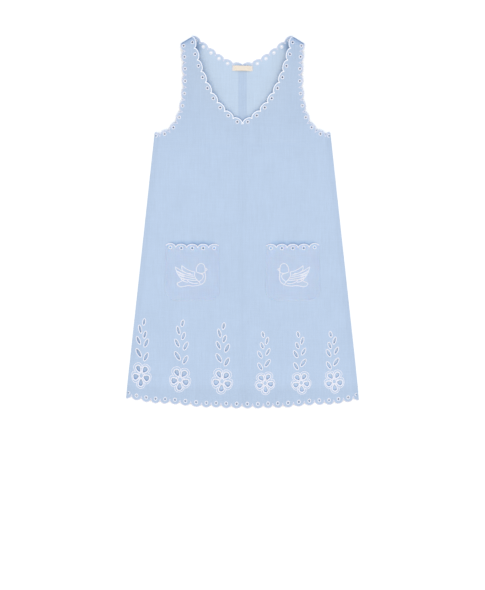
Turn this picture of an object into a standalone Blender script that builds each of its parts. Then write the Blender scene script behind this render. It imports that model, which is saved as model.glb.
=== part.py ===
"""Sleeveless mini dress in light linen, laid flat on its back.

The picture's left is -X, the neck is at +Y and +Z is up from the surface it lies on. Sizes are
in millimetres up to the last step. Each panel is a flat outline with its holes, filled, lifted
to where the cloth lies, and given its thickness.
"""
import math

import bpy
from mathutils import Vector
from mathutils.geometry import delaunay_2d_cdt

MM = 0.001

# cloth and how the layers lie
WALL = 1.2                # thickness of the linen panels
ALLOWANCE_WALL = 1.0      # thickness of the pressed-open seam edges
LABEL_WALL = 1.0
LINEN_COLOUR = (0.52, 0.64, 0.81)
LINEN_ROUGHNESS = 0.9
COTTON_COLOUR = (0.93, 0.81, 0.68)
COTTON_ROUGHNESS = 0.85
SEAM_GAP = 0.3            # clear space between neighbouring pieces where they are sewn
CHEST_HEIGHT = 3.0        # how far the front lies above the back at the chest, away from seams
HEM_HEIGHT = 1.4          # the same from the pockets down to the hem
CHEST_FROM = -60.0        # how high up the front begins to rise, and where it is fully up
CHEST_TO = 220.0
FRONT_WAVE = 0.25         # depth of the soft up and down of the front
WAVE_LENGTH = 260.0       # spacing of that up and down across the dress
SEAM_EASE = 12.0          # distance over which the front rises from a seam
POCKET_HEIGHT = 3.0       # how far the pocket mouth stands off the front
POCKET_EASE = 9.0         # distance over which the pocket rises from its stitching

# outline of one half, for the other half it is mirrored: (across from the middle, up)
NECK_LINE = ((0.0, 240.2), (15.1, 252.8), (86.9, 270.6), (120.2, 450.0))
BACK_NECK_LINE = ((0.0, 380.5), (37.5, 380.8), (60.5, 403.8), (120.2, 450.0))
ARM_LINE = ((143.4, 433.0), (139.5, 379.5), (121.9, 206.6), (212.4, 210.8))
BACK_ARM_LINE = ((143.4, 433.0), (129.5, 375.5), (111.9, 198.6), (212.4, 210.8))
HEM_MIDDLE = -442.0       # the front's hem at the middle, at the notches between scallops
BACK_HEM_MIDDLE = -432.0  # the back is a little shorter at the middle
HEM_END = (281.0, -420.0)
BACK_MIDDLE_GAP = SEAM_GAP / 2
CORNER_DROP = 4.0         # the right-hand corner of the hem lies this much lower
CORNER_DROP_X = (120.0, 270.0)         # where it begins to and where it is full
CORNER_DROP_Y = (-300.0, -410.0)

# scalloped edges: scallops on one half, how far a scallop stands out from the notches,
# how far an eyelet lies inside the notches, part of a scallop left out at the first end and
# at the last end, how much the scallops are drawn along the line near its start and its end
EDGES = {
    "neck": dict(count=9, rise=5.8, inset=3.8, cut_first=0.0, cut_last=0.0, early=-0.085, late=-0.08),
    "back_neck": dict(count=6, rise=5.5, inset=4.0, cut_first=0.0, cut_last=0.0, early=0.0, late=0.0),
    "arm": dict(count=10, rise=6.7, inset=0.6, cut_first=0.25, cut_last=0.5, early=-0.086, late=0.183),
    "hem": dict(count=12, rise=8.0, inset=3.6, cut_first=0.5, cut_last=0.0, early=-0.02, late=-0.025),
    "pocket": dict(count=5, rise=6.8, inset=4.1, cut_first=0.08, cut_last=0.08, early=0.0, late=0.0),
}
SCALLOP_STEPS = 6
SCALLOP_ROUND = 0.7       # below 1 a scallop is rounder than a parabola
EYELET_CLEAR = 0.1        # part of a scallop that must be left beyond an eyelet's own half
EYELET_RADIUS = 2.25
EYELET_CORNERS = 8

# patch pockets
POCKET_MIDDLE = 121.5     # from the middle of the dress
POCKET_TOP = -58.5        # at the notches of its scalloped top
POCKET_BOTTOM = -190.0
POCKET_TOP_HALF = 64.0    # half its width at the top
POCKET_BOTTOM_HALF = 66.5
POCKET_CORNER = 27.0
POCKET_CORNER_STEPS = 6
POCKET_SIDE_STEPS = 4

# cut flower stems above the hem: middle of the flower (across, up), how much of the full
# height and width it has, which way round it is, how far all its leaves are moved, and how
# far its top leaves are moved besides
STEMS = (
    dict(across=-244.9, up=-370.2, tall=1.0, wide=0.92, turn=1, leaves=(-0.5, -2.8), top=(1.0, -4.2)),
    dict(across=-151.2, up=-380.0, tall=1.0, wide=1.0, turn=1, leaves=(0.0, -0.3), top=(-0.6, 0.0)),
    dict(across=-49.6, up=-384.1, tall=1.0, wide=1.0, turn=1, leaves=(-1.4, -1.2), top=(-1.4, -1.9)),
    dict(across=54.7, up=-388.6, tall=0.87, wide=0.93, turn=-1, leaves=(0.1, -1.7), top=(1.1, 0.3)),
    dict(across=142.1, up=-387.4, tall=0.87, wide=0.93, turn=-1, leaves=(-0.6, -2.0), top=(-0.4, -0.4)),
    dict(across=222.1, up=-381.9, tall=0.87, wide=0.93, turn=-1, leaves=(-1.2, -4.6), top=(-1.4, -3.0)),
)
TOP_LEAVES_FROM = 85.0    # leaves above this height are the top leaves
TOP_LEAVES_EASE = 20.0
# petal holes: direction from the flower's middle in degrees, distance, length and width
PETALS = (
    dict(way=266.0, far=16.8, long=16.5, wide=9.5),
    dict(way=334.5, far=14.6, long=14.0, wide=12.0),
    dict(way=54.3, far=16.4, long=15.0, wide=10.5),
    dict(way=113.8, far=17.5, long=15.5, wide=9.0),
    dict(way=191.6, far=14.0, long=13.0, wide=12.5),
)
PETAL_POINT = 0.35        # how much narrower a petal is toward the flower's middle
PETAL_CORNERS = 8
# leaf holes: middle of the leaf from the flower's middle (across, up), length, width, lean
# from upright in degrees, to the right if more than nothing
LEAVES = (
    dict(across=6.8, up=136.4, long=13.4, wide=5.2, lean=11.0),
    dict(across=-3.5, up=119.0, long=18.0, wide=5.2, lean=-14.5),
    dict(across=9.0, up=105.5, long=15.5, wide=5.8, lean=19.0),
    dict(across=-7.0, up=88.4, long=18.0, wide=5.6, lean=-25.0),
    dict(across=13.7, up=81.2, long=18.7, wide=6.9, lean=26.0),
    dict(across=-6.2, up=57.3, long=21.0, wide=7.1, lean=-31.0),
    dict(across=13.0, up=47.8, long=18.8, wide=7.1, lean=27.0),
)
LEAF_CORNERS = 8

# label and pressed-open seam edges inside the back
LABEL_SIZE = (49.0, 12.6)
LABEL_UP = 373.0
LABEL_STEPS = 16
LABEL_FLAT_HALF = 11.5    # half the length that lies on the seam edges
LABEL_DROP = 7.0          # distance over which the label comes down to the panel
ALLOWANCE_WIDTH = 10.0
ALLOWANCE_TOP = 378.0
ALLOWANCE_BOTTOM = -428.0

# points between the edges that carry the shape of the cloth
SIDE_STEPS = 12
SHOULDER_STEPS = 2
SEAM_COLUMNS = (6.0, 15.0, 32.0)
GRID_STEP = 58.0
STRAP_STEP = 26.0
CLEAR_OF_EDGE = 5.0
STRAP_FIELD = (200.0, 230.0, 440.0)    # half width, bottom and top of the field of points
BODY_FIELD = (290.0, -400.0, 240.0)
BACK_FIELD = (290.0, -400.0, 440.0)
BACK_FIELD_FROM = 30.0
POCKET_GRID_STEP = 22.0
POCKET_FIELD_HALF = 60.0
POCKET_FIELD_UP = 6.0
POCKET_COLUMNS = (4.0, 11.0)
POCKET_COLUMN_STEPS = 5
POCKET_CLEAR_OF_EDGE = 3.5
CURVE_STEPS = 240
CLOSE = 1e-4              # points nearer than this are taken as one
WITHOUT_HOLES = 2         # the filling leaves out what is inside the inner loops


def clear_scene():
    """Take everything out of the new file."""
    for thing in list(bpy.data.objects):
        bpy.data.objects.remove(thing, do_unlink=True)


def bent_line(points):
    """A smooth line through a start and an end, drawn to the two points between them."""
    start, first, second, end = (Vector(p) for p in points)
    line = []
    for step in range(CURVE_STEPS + 1):
        t = step / CURVE_STEPS
        s = 1.0 - t
        line.append(s**3 * start + 3 * s * s * t * first + 3 * s * t * t * second + t**3 * end)
    return line


def hem_line(middle):
    """The hem's curve from the side seam in to the middle."""
    end_across, end_up = HEM_END
    line = []
    for step in range(CURVE_STEPS + 1):
        across = end_across * (1.0 - step / CURVE_STEPS)
        line.append(Vector((across, middle + (end_up - middle) * (across / end_across) ** 2)))
    return line


def travel(line):
    """Distance along the line at each of its points."""
    so_far = [0.0]
    for here, there in zip(line, line[1:]):
        so_far.append(so_far[-1] + (there - here).length)
    return so_far


def point_at(line, so_far, distance):
    """Place and outward direction at a distance along a line that has the cloth on its right."""
    last = len(line) - 2
    index = 0
    while index < last and so_far[index + 1] < distance:
        index += 1
    here, there = line[index], line[index + 1]
    part = (distance - so_far[index]) / (so_far[index + 1] - so_far[index])
    along = (there - here).normalized()
    return here + (there - here) * part, Vector((-along.y, along.x))


def scalloped(line, edge):
    """Cut edge with scallops along a line, and the middles of its eyelets."""
    so_far = travel(line)
    first, last = edge["cut_first"], edge["count"] - edge["cut_last"]

    def place(number):
        share = (number - first) / (last - first)
        drawn = edge["early"] * (1.0 - share) + edge["late"] * share
        return so_far[-1] * share * (1.0 + drawn * (1.0 - share))

    steps = range(math.ceil(first * SCALLOP_STEPS), math.floor(last * SCALLOP_STEPS) + 1)
    numbers = sorted({first, last} | {step / SCALLOP_STEPS for step in steps})
    outline = []
    for number in numbers:
        part = number % 1.0
        spot, outward = point_at(line, so_far, place(number))
        bulge = edge["rise"] * (4.0 * part * (1.0 - part)) ** SCALLOP_ROUND
        outline.append(spot + outward * bulge)
    eyelets = []
    for scallop in range(edge["count"]):
        middle = scallop + 0.5
        if first + EYELET_CLEAR < middle < last - EYELET_CLEAR:
            spot, outward = point_at(line, so_far, place(middle))
            eyelets.append(spot - outward * edge["inset"])
    return outline, eyelets


def between(start, end, steps):
    """Points that split a straight edge, without its ends."""
    return [start.lerp(end, step / steps) for step in range(1, steps)]


def flipped(points):
    """The same points on the other side of the middle, in the other order."""
    return [Vector((-p.x, p.y)) for p in reversed(points)]


def eyelet_hole(middle):
    """Round hole of an eyelet."""
    turns = [2 * math.pi * corner / EYELET_CORNERS for corner in range(EYELET_CORNERS)]
    return [middle + EYELET_RADIUS * Vector((math.cos(a), math.sin(a))) for a in turns]


def petal_hole(flower, stem, petal):
    """Drop-shaped hole, narrower toward the flower's middle."""
    way = math.radians(petal["way"])
    out = Vector((math.cos(way), math.sin(way)))
    side = Vector((-out.y, out.x))
    loop = []
    for corner in range(PETAL_CORNERS):
        a = 2 * math.pi * corner / PETAL_CORNERS
        along = petal["far"] - petal["long"] / 2 * math.cos(a)
        across = petal["wide"] / 2 * math.sin(a) * (1.0 - PETAL_POINT * math.cos(a))
        spot = out * along + side * across
        loop.append(flower + Vector((spot.x * stem["wide"] * stem["turn"], spot.y * stem["tall"])))
    return loop


def leaf_hole(flower, stem, leaf):
    """Pointed oval hole beside the stem."""
    high = min(max((leaf["up"] - TOP_LEAVES_FROM) / TOP_LEAVES_EASE, 0.0), 1.0)
    shift = Vector(stem["leaves"]) + high * Vector(stem["top"])
    lean = math.radians(90.0 - leaf["lean"])
    along = Vector((math.cos(lean), math.sin(lean)))
    side = Vector((-along.y, along.x))
    loop = []
    for corner in range(LEAF_CORNERS):
        a = 2 * math.pi * corner / LEAF_CORNERS
        wide = leaf["wide"] / 2 * math.sin(a)
        spot = along * leaf["long"] / 2 * math.cos(a) + side * wide
        spot += Vector((leaf["across"], leaf["up"]))
        spot = Vector((spot.x * stem["wide"] * stem["turn"], spot.y * stem["tall"]))
        loop.append(flower + spot + shift)
    return loop


def stem_holes():
    """All the holes of the six flower stems."""
    holes = []
    for stem in STEMS:
        flower = Vector((stem["across"], stem["up"]))
        holes += [petal_hole(flower, stem, petal) for petal in PETALS]
        holes += [leaf_hole(flower, stem, leaf) for leaf in LEAVES]
    return holes


def smooth(share):
    """Soft step from nothing to one."""
    share = min(max(share, 0.0), 1.0)
    return share * share * (3.0 - 2.0 * share)


def settled(spot):
    """How far up a spot is, with the right-hand corner of the hem a little lower."""
    across = smooth((spot.x - CORNER_DROP_X[0]) / (CORNER_DROP_X[1] - CORNER_DROP_X[0]))
    down = smooth((spot.y - CORNER_DROP_Y[0]) / (CORNER_DROP_Y[1] - CORNER_DROP_Y[0]))
    return spot.y - CORNER_DROP * across * down


def off_line(spot, start, end):
    """Distance of a spot from the straight line through two points."""
    along = (end - start).normalized()
    away = spot - start
    return abs(along.x * away.y - along.y * away.x)


def inside(spot, loop):
    """Whether a spot is inside a closed loop."""
    found = False
    for here, there in zip(loop, loop[1:] + loop[:1]):
        if (here.y > spot.y) != (there.y > spot.y):
            cross = here.x + (spot.y - here.y) * (there.x - here.x) / (there.y - here.y)
            if spot.x < cross:
                found = not found
    return found


def shape_spots(wanted, outline, holes, clear):
    """The wanted points that are on the cloth and clear of its edges."""
    edges = outline + [p for hole in holes for p in hole]
    kept = []
    for spot in wanted:
        if not inside(spot, outline) or any(inside(spot, hole) for hole in holes):
            continue
        if all((spot - p).length > clear for p in edges + kept):
            kept.append(spot)
    return kept


def panel(name, outline, holes, spots, lift, wall, material, group):
    """Fill an outline round its holes, lift it to where it lies, and give it its thickness."""
    flat = list(outline)
    loops = [list(range(len(outline)))]
    for hole in holes:
        loops.append(list(range(len(flat), len(flat) + len(hole))))
        flat += hole
    flat += spots
    found = delaunay_2d_cdt([Vector((p.x, p.y)) for p in flat], [], loops, WITHOUT_HOLES, CLOSE)
    verts, faces = found[0], found[2]
    used = sorted({v for face in faces for v in face})
    number = {v: n for n, v in enumerate(used)}
    placed = [verts[v] for v in used]
    points = [(p.x * MM, settled(p) * MM, lift(p) * MM) for p in placed]
    mesh = bpy.data.meshes.new(name)
    mesh.from_pydata(points, [], [[number[v] for v in face] for face in faces])
    mesh.materials.append(material)
    piece = bpy.data.objects.new(name, mesh)
    group.objects.link(piece)
    if mesh.polygons[0].normal.z < 0:
        mesh.flip_normals()
    thick = piece.modifiers.new("thickness", "SOLIDIFY")
    thick.thickness = wall * MM
    thick.offset = 1.0
    thick.use_even_offset = False
    return piece


def grid(step, left, right, bottom, top):
    """Evenly spaced points, every second row set off by half a step."""
    spots = []
    rows = round((top - bottom) / step)
    for row in range(rows + 1):
        up = bottom + (top - bottom) * row / rows
        across = left + (step / 2 if row % 2 else 0.0)
        while across <= right:
            spots.append(Vector((across, up)))
            across += step
    return spots


def cloth_material(name, colour, rough):
    """Plain matt cloth."""
    material = bpy.data.materials.new(name)
    material.use_nodes = True
    shader = material.node_tree.nodes["Principled BSDF"]
    shader.inputs["Base Color"].default_value = (*colour, 1.0)
    shader.inputs["Roughness"].default_value = rough
    shader.inputs["Metallic"].default_value = 0.0
    return material


clear_scene()
dress = bpy.data.collections.new("mini_dress")
bpy.context.scene.collection.children.link(dress)
linen = cloth_material("linen_blue", LINEN_COLOUR, LINEN_ROUGHNESS)
cotton = cloth_material("label_cotton", COTTON_COLOUR, COTTON_ROUGHNESS)

# right half of the front's edge, from the neck point round to the middle of the hem
neck, neck_eyelets = scalloped(bent_line(NECK_LINE), EDGES["neck"])
arm, arm_eyelets = scalloped(bent_line(ARM_LINE), EDGES["arm"])
hem, hem_eyelets = scalloped(hem_line(HEM_MIDDLE), EDGES["hem"])
underarm, corner = arm[-1], hem[0]
side = between(underarm, corner, SIDE_STEPS)
shoulder_in, shoulder_out = neck[-1], arm[0]
shoulder = between(shoulder_in, shoulder_out, SHOULDER_STEPS)
half = neck + shoulder + arm + side + hem
front_outline = half + flipped(half[1:-1])
half_eyelets = neck_eyelets + arm_eyelets + hem_eyelets
front_holes = [eyelet_hole(p) for p in half_eyelets + flipped(half_eyelets)] + stem_holes()


def seam_distance(spot):
    """Distance from the nearer of the side seam and the shoulder seam."""
    there = Vector((abs(spot.x), spot.y))
    return min(off_line(there, underarm, corner), off_line(there, shoulder_in, shoulder_out))


def front_lift(spot):
    """Height of the front's underside."""
    high = HEM_HEIGHT + (CHEST_HEIGHT - HEM_HEIGHT) * smooth((spot.y - CHEST_FROM) / (CHEST_TO - CHEST_FROM))
    high += FRONT_WAVE * math.sin(2 * math.pi * spot.x / WAVE_LENGTH + spot.y / WAVE_LENGTH)
    rise = 1.0 - math.exp(-seam_distance(spot) / SEAM_EASE)
    return WALL + SEAM_GAP + high * rise


seam_spots = []
for here in side:
    for inward in SEAM_COLUMNS:
        seam_spots.append(Vector((here.x - inward, here.y)))
wanted = seam_spots + flipped(seam_spots)
for step, (reach, bottom, top) in ((STRAP_STEP, STRAP_FIELD), (GRID_STEP, BODY_FIELD)):
    wanted += grid(step, -reach, reach, bottom, top)
spots = shape_spots(wanted, front_outline, front_holes, CLEAR_OF_EDGE)
panel("front", front_outline, front_holes, spots, front_lift, WALL, linen, dress)

# the back in two halves, sewn together along the middle
back_neck, back_neck_eyelets = scalloped(bent_line(BACK_NECK_LINE), EDGES["back_neck"])
back_arm, back_arm_eyelets = scalloped(bent_line(BACK_ARM_LINE), EDGES["arm"])
back_hem, back_hem_eyelets = scalloped(hem_line(BACK_HEM_MIDDLE), EDGES["hem"])
back_outline = back_neck + shoulder + back_arm + side + back_hem
back_outline = [Vector((max(p.x, BACK_MIDDLE_GAP), p.y)) for p in back_outline]
back_outline += between(back_outline[-1], back_outline[0], SIDE_STEPS)
back_holes = [eyelet_hole(p) for p in back_neck_eyelets + back_arm_eyelets + back_hem_eyelets]


def back_lift(spot):
    """The back lies on the surface."""
    return 0.0


wanted = grid(GRID_STEP, BACK_FIELD_FROM, *BACK_FIELD)
spots = shape_spots(wanted, back_outline, back_holes, CLEAR_OF_EDGE)
panel("back_right", back_outline, back_holes, spots, back_lift, WALL, linen, dress)
left_holes = [flipped(hole) for hole in back_holes]
panel("back_left", flipped(back_outline), left_holes, flipped(spots), back_lift, WALL, linen, dress)


def allowance_lift(spot):
    """The pressed-open seam edges lie on the inside of the back."""
    return WALL + SEAM_GAP


inner, outer = BACK_MIDDLE_GAP, BACK_MIDDLE_GAP + ALLOWANCE_WIDTH
strip = [Vector((inner, ALLOWANCE_TOP)), Vector((outer, ALLOWANCE_TOP))]
strip += between(strip[1], Vector((outer, ALLOWANCE_BOTTOM)), SIDE_STEPS)
strip += [Vector((outer, ALLOWANCE_BOTTOM)), Vector((inner, ALLOWANCE_BOTTOM))]
strip += between(strip[-1], strip[0], SIDE_STEPS)
panel("seam_edge_right", strip, [], [], allowance_lift, ALLOWANCE_WALL, linen, dress)
panel("seam_edge_left", flipped(strip), [], [], allowance_lift, ALLOWANCE_WALL, linen, dress)


def label_lift(spot):
    """The label lies over the seam edges and comes down to the panel at its ends."""
    drop = smooth((abs(spot.x) - LABEL_FLAT_HALF) / LABEL_DROP)
    return WALL + SEAM_GAP + (ALLOWANCE_WALL + SEAM_GAP) * (1.0 - drop)


long, high = LABEL_SIZE
tag = [Vector((-long / 2, LABEL_UP + high / 2)), Vector((long / 2, LABEL_UP + high / 2))]
tag = tag[:1] + between(tag[0], tag[1], LABEL_STEPS) + tag[1:]
tag += [Vector((p.x, LABEL_UP - high / 2)) for p in reversed(tag)]
panel("label", tag, [], [], label_lift, LABEL_WALL, cotton, dress)


def pocket_outline(middle):
    """Patch pocket with a scalloped top and rounded lower corners."""
    top_line = [Vector((-POCKET_TOP_HALF, POCKET_TOP)), Vector((POCKET_TOP_HALF, POCKET_TOP))]
    outline, eyelets = scalloped(top_line, EDGES["pocket"])
    turn = Vector((POCKET_BOTTOM_HALF - POCKET_CORNER, POCKET_BOTTOM + POCKET_CORNER))
    lower = []
    for step in range(POCKET_CORNER_STEPS + 1):
        a = math.pi / 2 * step / POCKET_CORNER_STEPS
        lower.append(turn + POCKET_CORNER * Vector((math.cos(a), -math.sin(a))))
    right = between(outline[-1], lower[0], POCKET_SIDE_STEPS) + lower
    outline += right + flipped(right)
    shift = Vector((middle, 0.0))
    return [p + shift for p in outline], [eyelet_hole(p + shift) for p in eyelets]


def pocket_rise(spot, middle):
    """How far a pocket stands off the front."""
    across = abs(spot.x - middle)
    up = spot.y - POCKET_BOTTOM
    share = min(max(up / (POCKET_TOP - POCKET_BOTTOM), 0.0), 1.0)
    edge = POCKET_BOTTOM_HALF + (POCKET_TOP_HALF - POCKET_BOTTOM_HALF) * share
    inward = min(edge - across, up)
    into_corner = Vector((edge - across - POCKET_CORNER, up - POCKET_CORNER))
    if into_corner.x < 0 and into_corner.y < 0:
        inward = POCKET_CORNER - into_corner.length
    return POCKET_HEIGHT * share * (1.0 - math.exp(-max(inward, 0.0) / POCKET_EASE))


def pocket(name, middle):
    """One patch pocket, made from the front's own surface moved out."""
    outline, holes = pocket_outline(middle)

    def lift(spot):
        return front_lift(spot) + WALL + SEAM_GAP + pocket_rise(spot, middle)

    wanted = []
    for step in range(POCKET_COLUMN_STEPS + 1):
        up = POCKET_TOP + (POCKET_BOTTOM + POCKET_CORNER - POCKET_TOP) * step / POCKET_COLUMN_STEPS
        for inward in POCKET_COLUMNS:
            wanted.append(Vector((middle + POCKET_TOP_HALF - inward, up)))
            wanted.append(Vector((middle - POCKET_TOP_HALF + inward, up)))
    left, right = middle - POCKET_FIELD_HALF, middle + POCKET_FIELD_HALF
    wanted += grid(POCKET_GRID_STEP, left, right, POCKET_BOTTOM + POCKET_FIELD_UP, POCKET_TOP)
    spots = shape_spots(wanted, outline, holes, POCKET_CLEAR_OF_EDGE)
    panel(name, outline, holes, spots, lift, WALL, linen, dress)


pocket("pocket_left", -POCKET_MIDDLE)
pocket("pocket_right", POCKET_MIDDLE)
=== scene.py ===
"""Looks of the mini dress: fine linen panels, satin stitch edges, eyelets, cut flower stems.

The dress lies flat on its back. Tables are in millimetres, meshes in metres.
"""

import math

import bpy
import numpy as np
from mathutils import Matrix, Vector
from mathutils.geometry import delaunay_2d_cdt


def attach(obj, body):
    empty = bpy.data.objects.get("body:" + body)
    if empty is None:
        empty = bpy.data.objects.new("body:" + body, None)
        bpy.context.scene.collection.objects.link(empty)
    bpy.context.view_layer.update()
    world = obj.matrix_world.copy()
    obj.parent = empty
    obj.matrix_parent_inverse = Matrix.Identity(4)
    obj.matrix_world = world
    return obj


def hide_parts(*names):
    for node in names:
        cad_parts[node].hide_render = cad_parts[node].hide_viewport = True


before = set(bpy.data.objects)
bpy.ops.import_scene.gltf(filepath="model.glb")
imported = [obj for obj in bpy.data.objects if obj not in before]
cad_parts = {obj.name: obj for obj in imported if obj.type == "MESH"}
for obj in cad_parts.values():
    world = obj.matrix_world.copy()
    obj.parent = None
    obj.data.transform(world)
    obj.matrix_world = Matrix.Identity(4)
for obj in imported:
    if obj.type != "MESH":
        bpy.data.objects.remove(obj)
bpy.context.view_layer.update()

MM = 0.001
rng = np.random.RandomState(7)


def table(columns, *rows):
    """Rows of values under the names of their columns."""
    return [dict(zip(columns.split(), row)) for row in rows]


# cloth and how the layers lie
CLOTH = 0.6  # thickness of the linen
TAPE = 0.4  # thickness of the label
SEAM_GAP = 0.2  # clear space between pieces where they are sewn
CHEST_HEIGHT = 3.0  # how far the front lies above the back at the chest, away from seams
HEM_HEIGHT = 1.35  # and from the pockets down to the hem
CHEST_FROM = -60.0  # where the front begins to rise, and where it is up
CHEST_TO = 220.0
LEAST_HEIGHT = 0.2
SEAM_EASE = 9.0
SHOULDER_HEIGHT = 5.0  # how far the shoulder seam stands up at its fold
SHOULDER_FOLD = 2.2  # how round the fold is, and how far from it the height fades
SHOULDER_FADE = 30.0
NECK_RAISE = 10.0  # how much further the front stands off the back along the neckline
NECK_RAISE_EASE = 24.0
NECK_RAISE_FROM = 236.0  # where this grows, over what height, and its share below that
NECK_RAISE_OVER = 170.0
NECK_RAISE_LEAST = 0.08
NECK_SHOULDER_EASE = 14.0
NECK_FELT_ABOVE = 150.0  # lower down the neckline is too far off to matter
POCKET_CLOTH = 0.4
POCKET_GAP = 0.05
POCKET_HEIGHT = 2.6  # how far the pocket mouth stands off the front
POCKET_EVEN_HEIGHT = 0.9  # the part of it that grows evenly from the base
POCKET_CURVE = 2.2  # how late the rest of it grows
POCKET_EASE = 19.0
MOUTH_WAVES = ((0.16, 9.0, 0.0), (0.12, 21.0, 1.0))  # depth, length and start of each
OUTER_SCALLOP_LIFT = 2.0  # the outermost pocket scallop sits a little higher
OUTER_SCALLOP = 174.0
OUTER_SCALLOP_WIDE = 17.0
OUTER_SCALLOP_FROM = 14.0  # how far below the pocket's top this begins, and over what height
OUTER_SCALLOP_OVER = 10.0

# outline of one half: (across from the middle, up)
NECK_LINE = ((0.0, 239.0), (15.1, 252.6), (86.9, 270.6), (120.2, 450.0))
BACK_NECK_LINE = ((0.0, 380.5), (37.5, 380.8), (60.5, 403.8), (120.2, 450.0))
ARM_LINE = ((143.4, 433.0), (139.5, 379.5), (121.9, 206.6), (212.4, 210.8))
BACK_ARM_LINE = ((143.4, 433.0), (129.5, 375.5), (111.9, 198.6), (212.4, 210.8))
HEM_MIDDLE = -442.0
BACK_HEM_MIDDLE = -432.0
HEM_END = (281.0, -420.0)
BACK_MIDDLE_GAP = 0.02

# scalloped edges, as in the solids: scallops, their depth, how far in the eyelets are, shares of
# the first and last scallop that are cut off, and how the scallops are drawn together at the ends
EDGES = dict(zip(("neck", "back_neck", "arm", "hem", "pocket"), table(
    "count rise inset cut_first cut_last early late",
    (9, 5.8, 3.8, 0.0, 0.0, -0.085, -0.08),
    (6, 5.5, 4.0, 0.0, 0.0, 0.0, 0.0),
    (10, 6.7, 0.6, 0.25, 0.5, -0.086, 0.183),
    (12, 8.0, 3.6, 0.5, 0.0, -0.02, -0.025),
    (5, 6.8, 4.1, 0.08, 0.08, 0.0, 0.0),
)))
SCALLOP_STEPS = 22
SCALLOP_ROUND = 0.7  # below 1 a scallop is rounder than a parabola
EYELET_ROOM = 0.1  # share of a scallop that an eyelet needs on each side
NOTCH_TAIL = 1.6  # how far the satin border runs in at a notch
RIM_TAIL = 3.4  # and the thinner one of arms and hem
NOTCH_TAIL_WIDE = 0.06
CORNER_DROP = 4.0  # the right-hand corner of the hem lies this much lower
CORNER_DROP_X = (120.0, 270.0)
CORNER_DROP_Y = (-300.0, -410.0)
# how the hem's edge lies unevenly: where, how far it is moved to the right, and up
HEM_SHIFTS = (
    (-269.0, 0.6, 1.6), (-245.0, 0.0, 0.6), (-221.0, -0.6, -0.8), (-197.0, -2.2, 0.4), (-173.0, -3.0, 2.6),
    (-149.0, -2.8, 1.8), (-124.0, -1.4, 0.6), (-100.0, 0.4, -0.9), (-75.0, -0.9, 0.3), (-50.0, -2.0, 0.6),
    (-25.0, -2.0, -0.7), (0.0, -1.2, 0.0), (25.0, -0.6, -1.1), (50.0, 0.2, -1.1), (75.0, -1.3, -0.8),
    (100.0, -2.2, -1.9), (124.0, -0.7, -1.4), (149.0, 1.0, 0.0), (173.0, 1.4, 0.9), (197.0, 0.9, -0.7),
    (221.0, 0.0, -1.6), (245.0, -0.9, 0.2), (269.0, -1.0, 1.2),
)
HEM_SHIFT_FROM = -402.0
HEM_SHIFT_EASE = 16.0
EYELET_RADIUS = 2.25
EYELET_CORNERS = 20
RING_PATH = 3.4  # radius of the middle of an eyelet's satin ring
POCKET_RING_PATH = 3.6
HEM_RING_TALL = 1.22  # the hem's rings are a little taller than wide
HEM_RINGS_BELOW = -408.0
SEAM_EYELETS = ((209.5, 209.3), (276.4, -413.6))  # eyelets that the side seams cut through
SEAM_EYELET_RADIUS = 1.7
SEAM_RING_FROM = 68.0  # where the part rings round them begin and how far they go, in degrees
SEAM_RING_TURN = 224.0
BACK_BORDER_FROM = 0.8  # the back's satin borders end this far off its middle

# patch pockets
POCKET_MIDDLE = 121.5
POCKET_TOP = -58.5
POCKET_BOTTOM = -190.0
POCKET_TOP_HALF = 64.0
POCKET_BOTTOM_HALF = 66.5
POCKET_CORNER = 27.0

# cut flower stems: middle of the flower, share of full height and width, which way round, how far
# the leaves are moved, and how much further the upper ones
STEMS = table(
    "across up tall wide turn low top",
    (-244.9, -370.2, 1.0, 0.92, 1, (-0.5, -2.8), (1.0, -4.2)),
    (-151.2, -380.0, 1.0, 1.0, 1, (0.0, -0.3), (-0.6, 0.0)),
    (-49.6, -384.1, 1.0, 1.0, 1, (-1.4, -1.2), (-1.4, -1.9)),
    (54.7, -388.6, 0.87, 0.93, -1, (0.1, -1.7), (1.1, 0.3)),
    (142.1, -387.4, 0.87, 0.93, -1, (-0.6, -2.0), (-0.4, -0.4)),
    (222.1, -381.9, 0.87, 0.93, -1, (-1.2, -4.6), (-1.4, -3.0)),
)
LEAVES_SHIFT_FROM = 85.0
LEAVES_SHIFT_EASE = 20.0
# petals: which way from the flower's middle, how far off, length and width of the hole, and how
# far outside it the flower's outline runs at the tip and beside it
PETALS = table(
    "way far long wide rim beside",
    (266.0, 16.8, 16.5, 9.5, 6.5, 5.8),
    (334.5, 14.6, 14.0, 12.0, 5.0, 7.0),
    (54.3, 16.4, 15.0, 10.5, 6.7, 5.9),
    (113.8, 17.5, 15.5, 9.0, 7.4, 6.2),
    (191.6, 14.0, 13.0, 12.5, 4.9, 7.0),
)
PETAL_POINT = 0.35
PETAL_CORNERS = 28
# leaves: middle, length, lean off upright, width
LEAVES = table(
    "across up long lean wide",
    (6.8, 136.4, 13.4, 11.0, 5.2),
    (-3.5, 119.0, 18.0, -14.5, 5.2),
    (9.0, 105.5, 15.5, 19.0, 5.8),
    (-7.0, 88.4, 18.0, -25.0, 5.6),
    (13.7, 81.2, 18.7, 26.0, 6.9),
    (-6.2, 57.3, 21.0, -31.0, 7.1),
    (13.0, 47.8, 18.8, 27.0, 7.1),
)
LEAF_POINT = 0.15
LEAF_RING_LONG = 1.25  # a leaf's ring is this much further off at the tips
LEAF_CORNERS = 28

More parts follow.
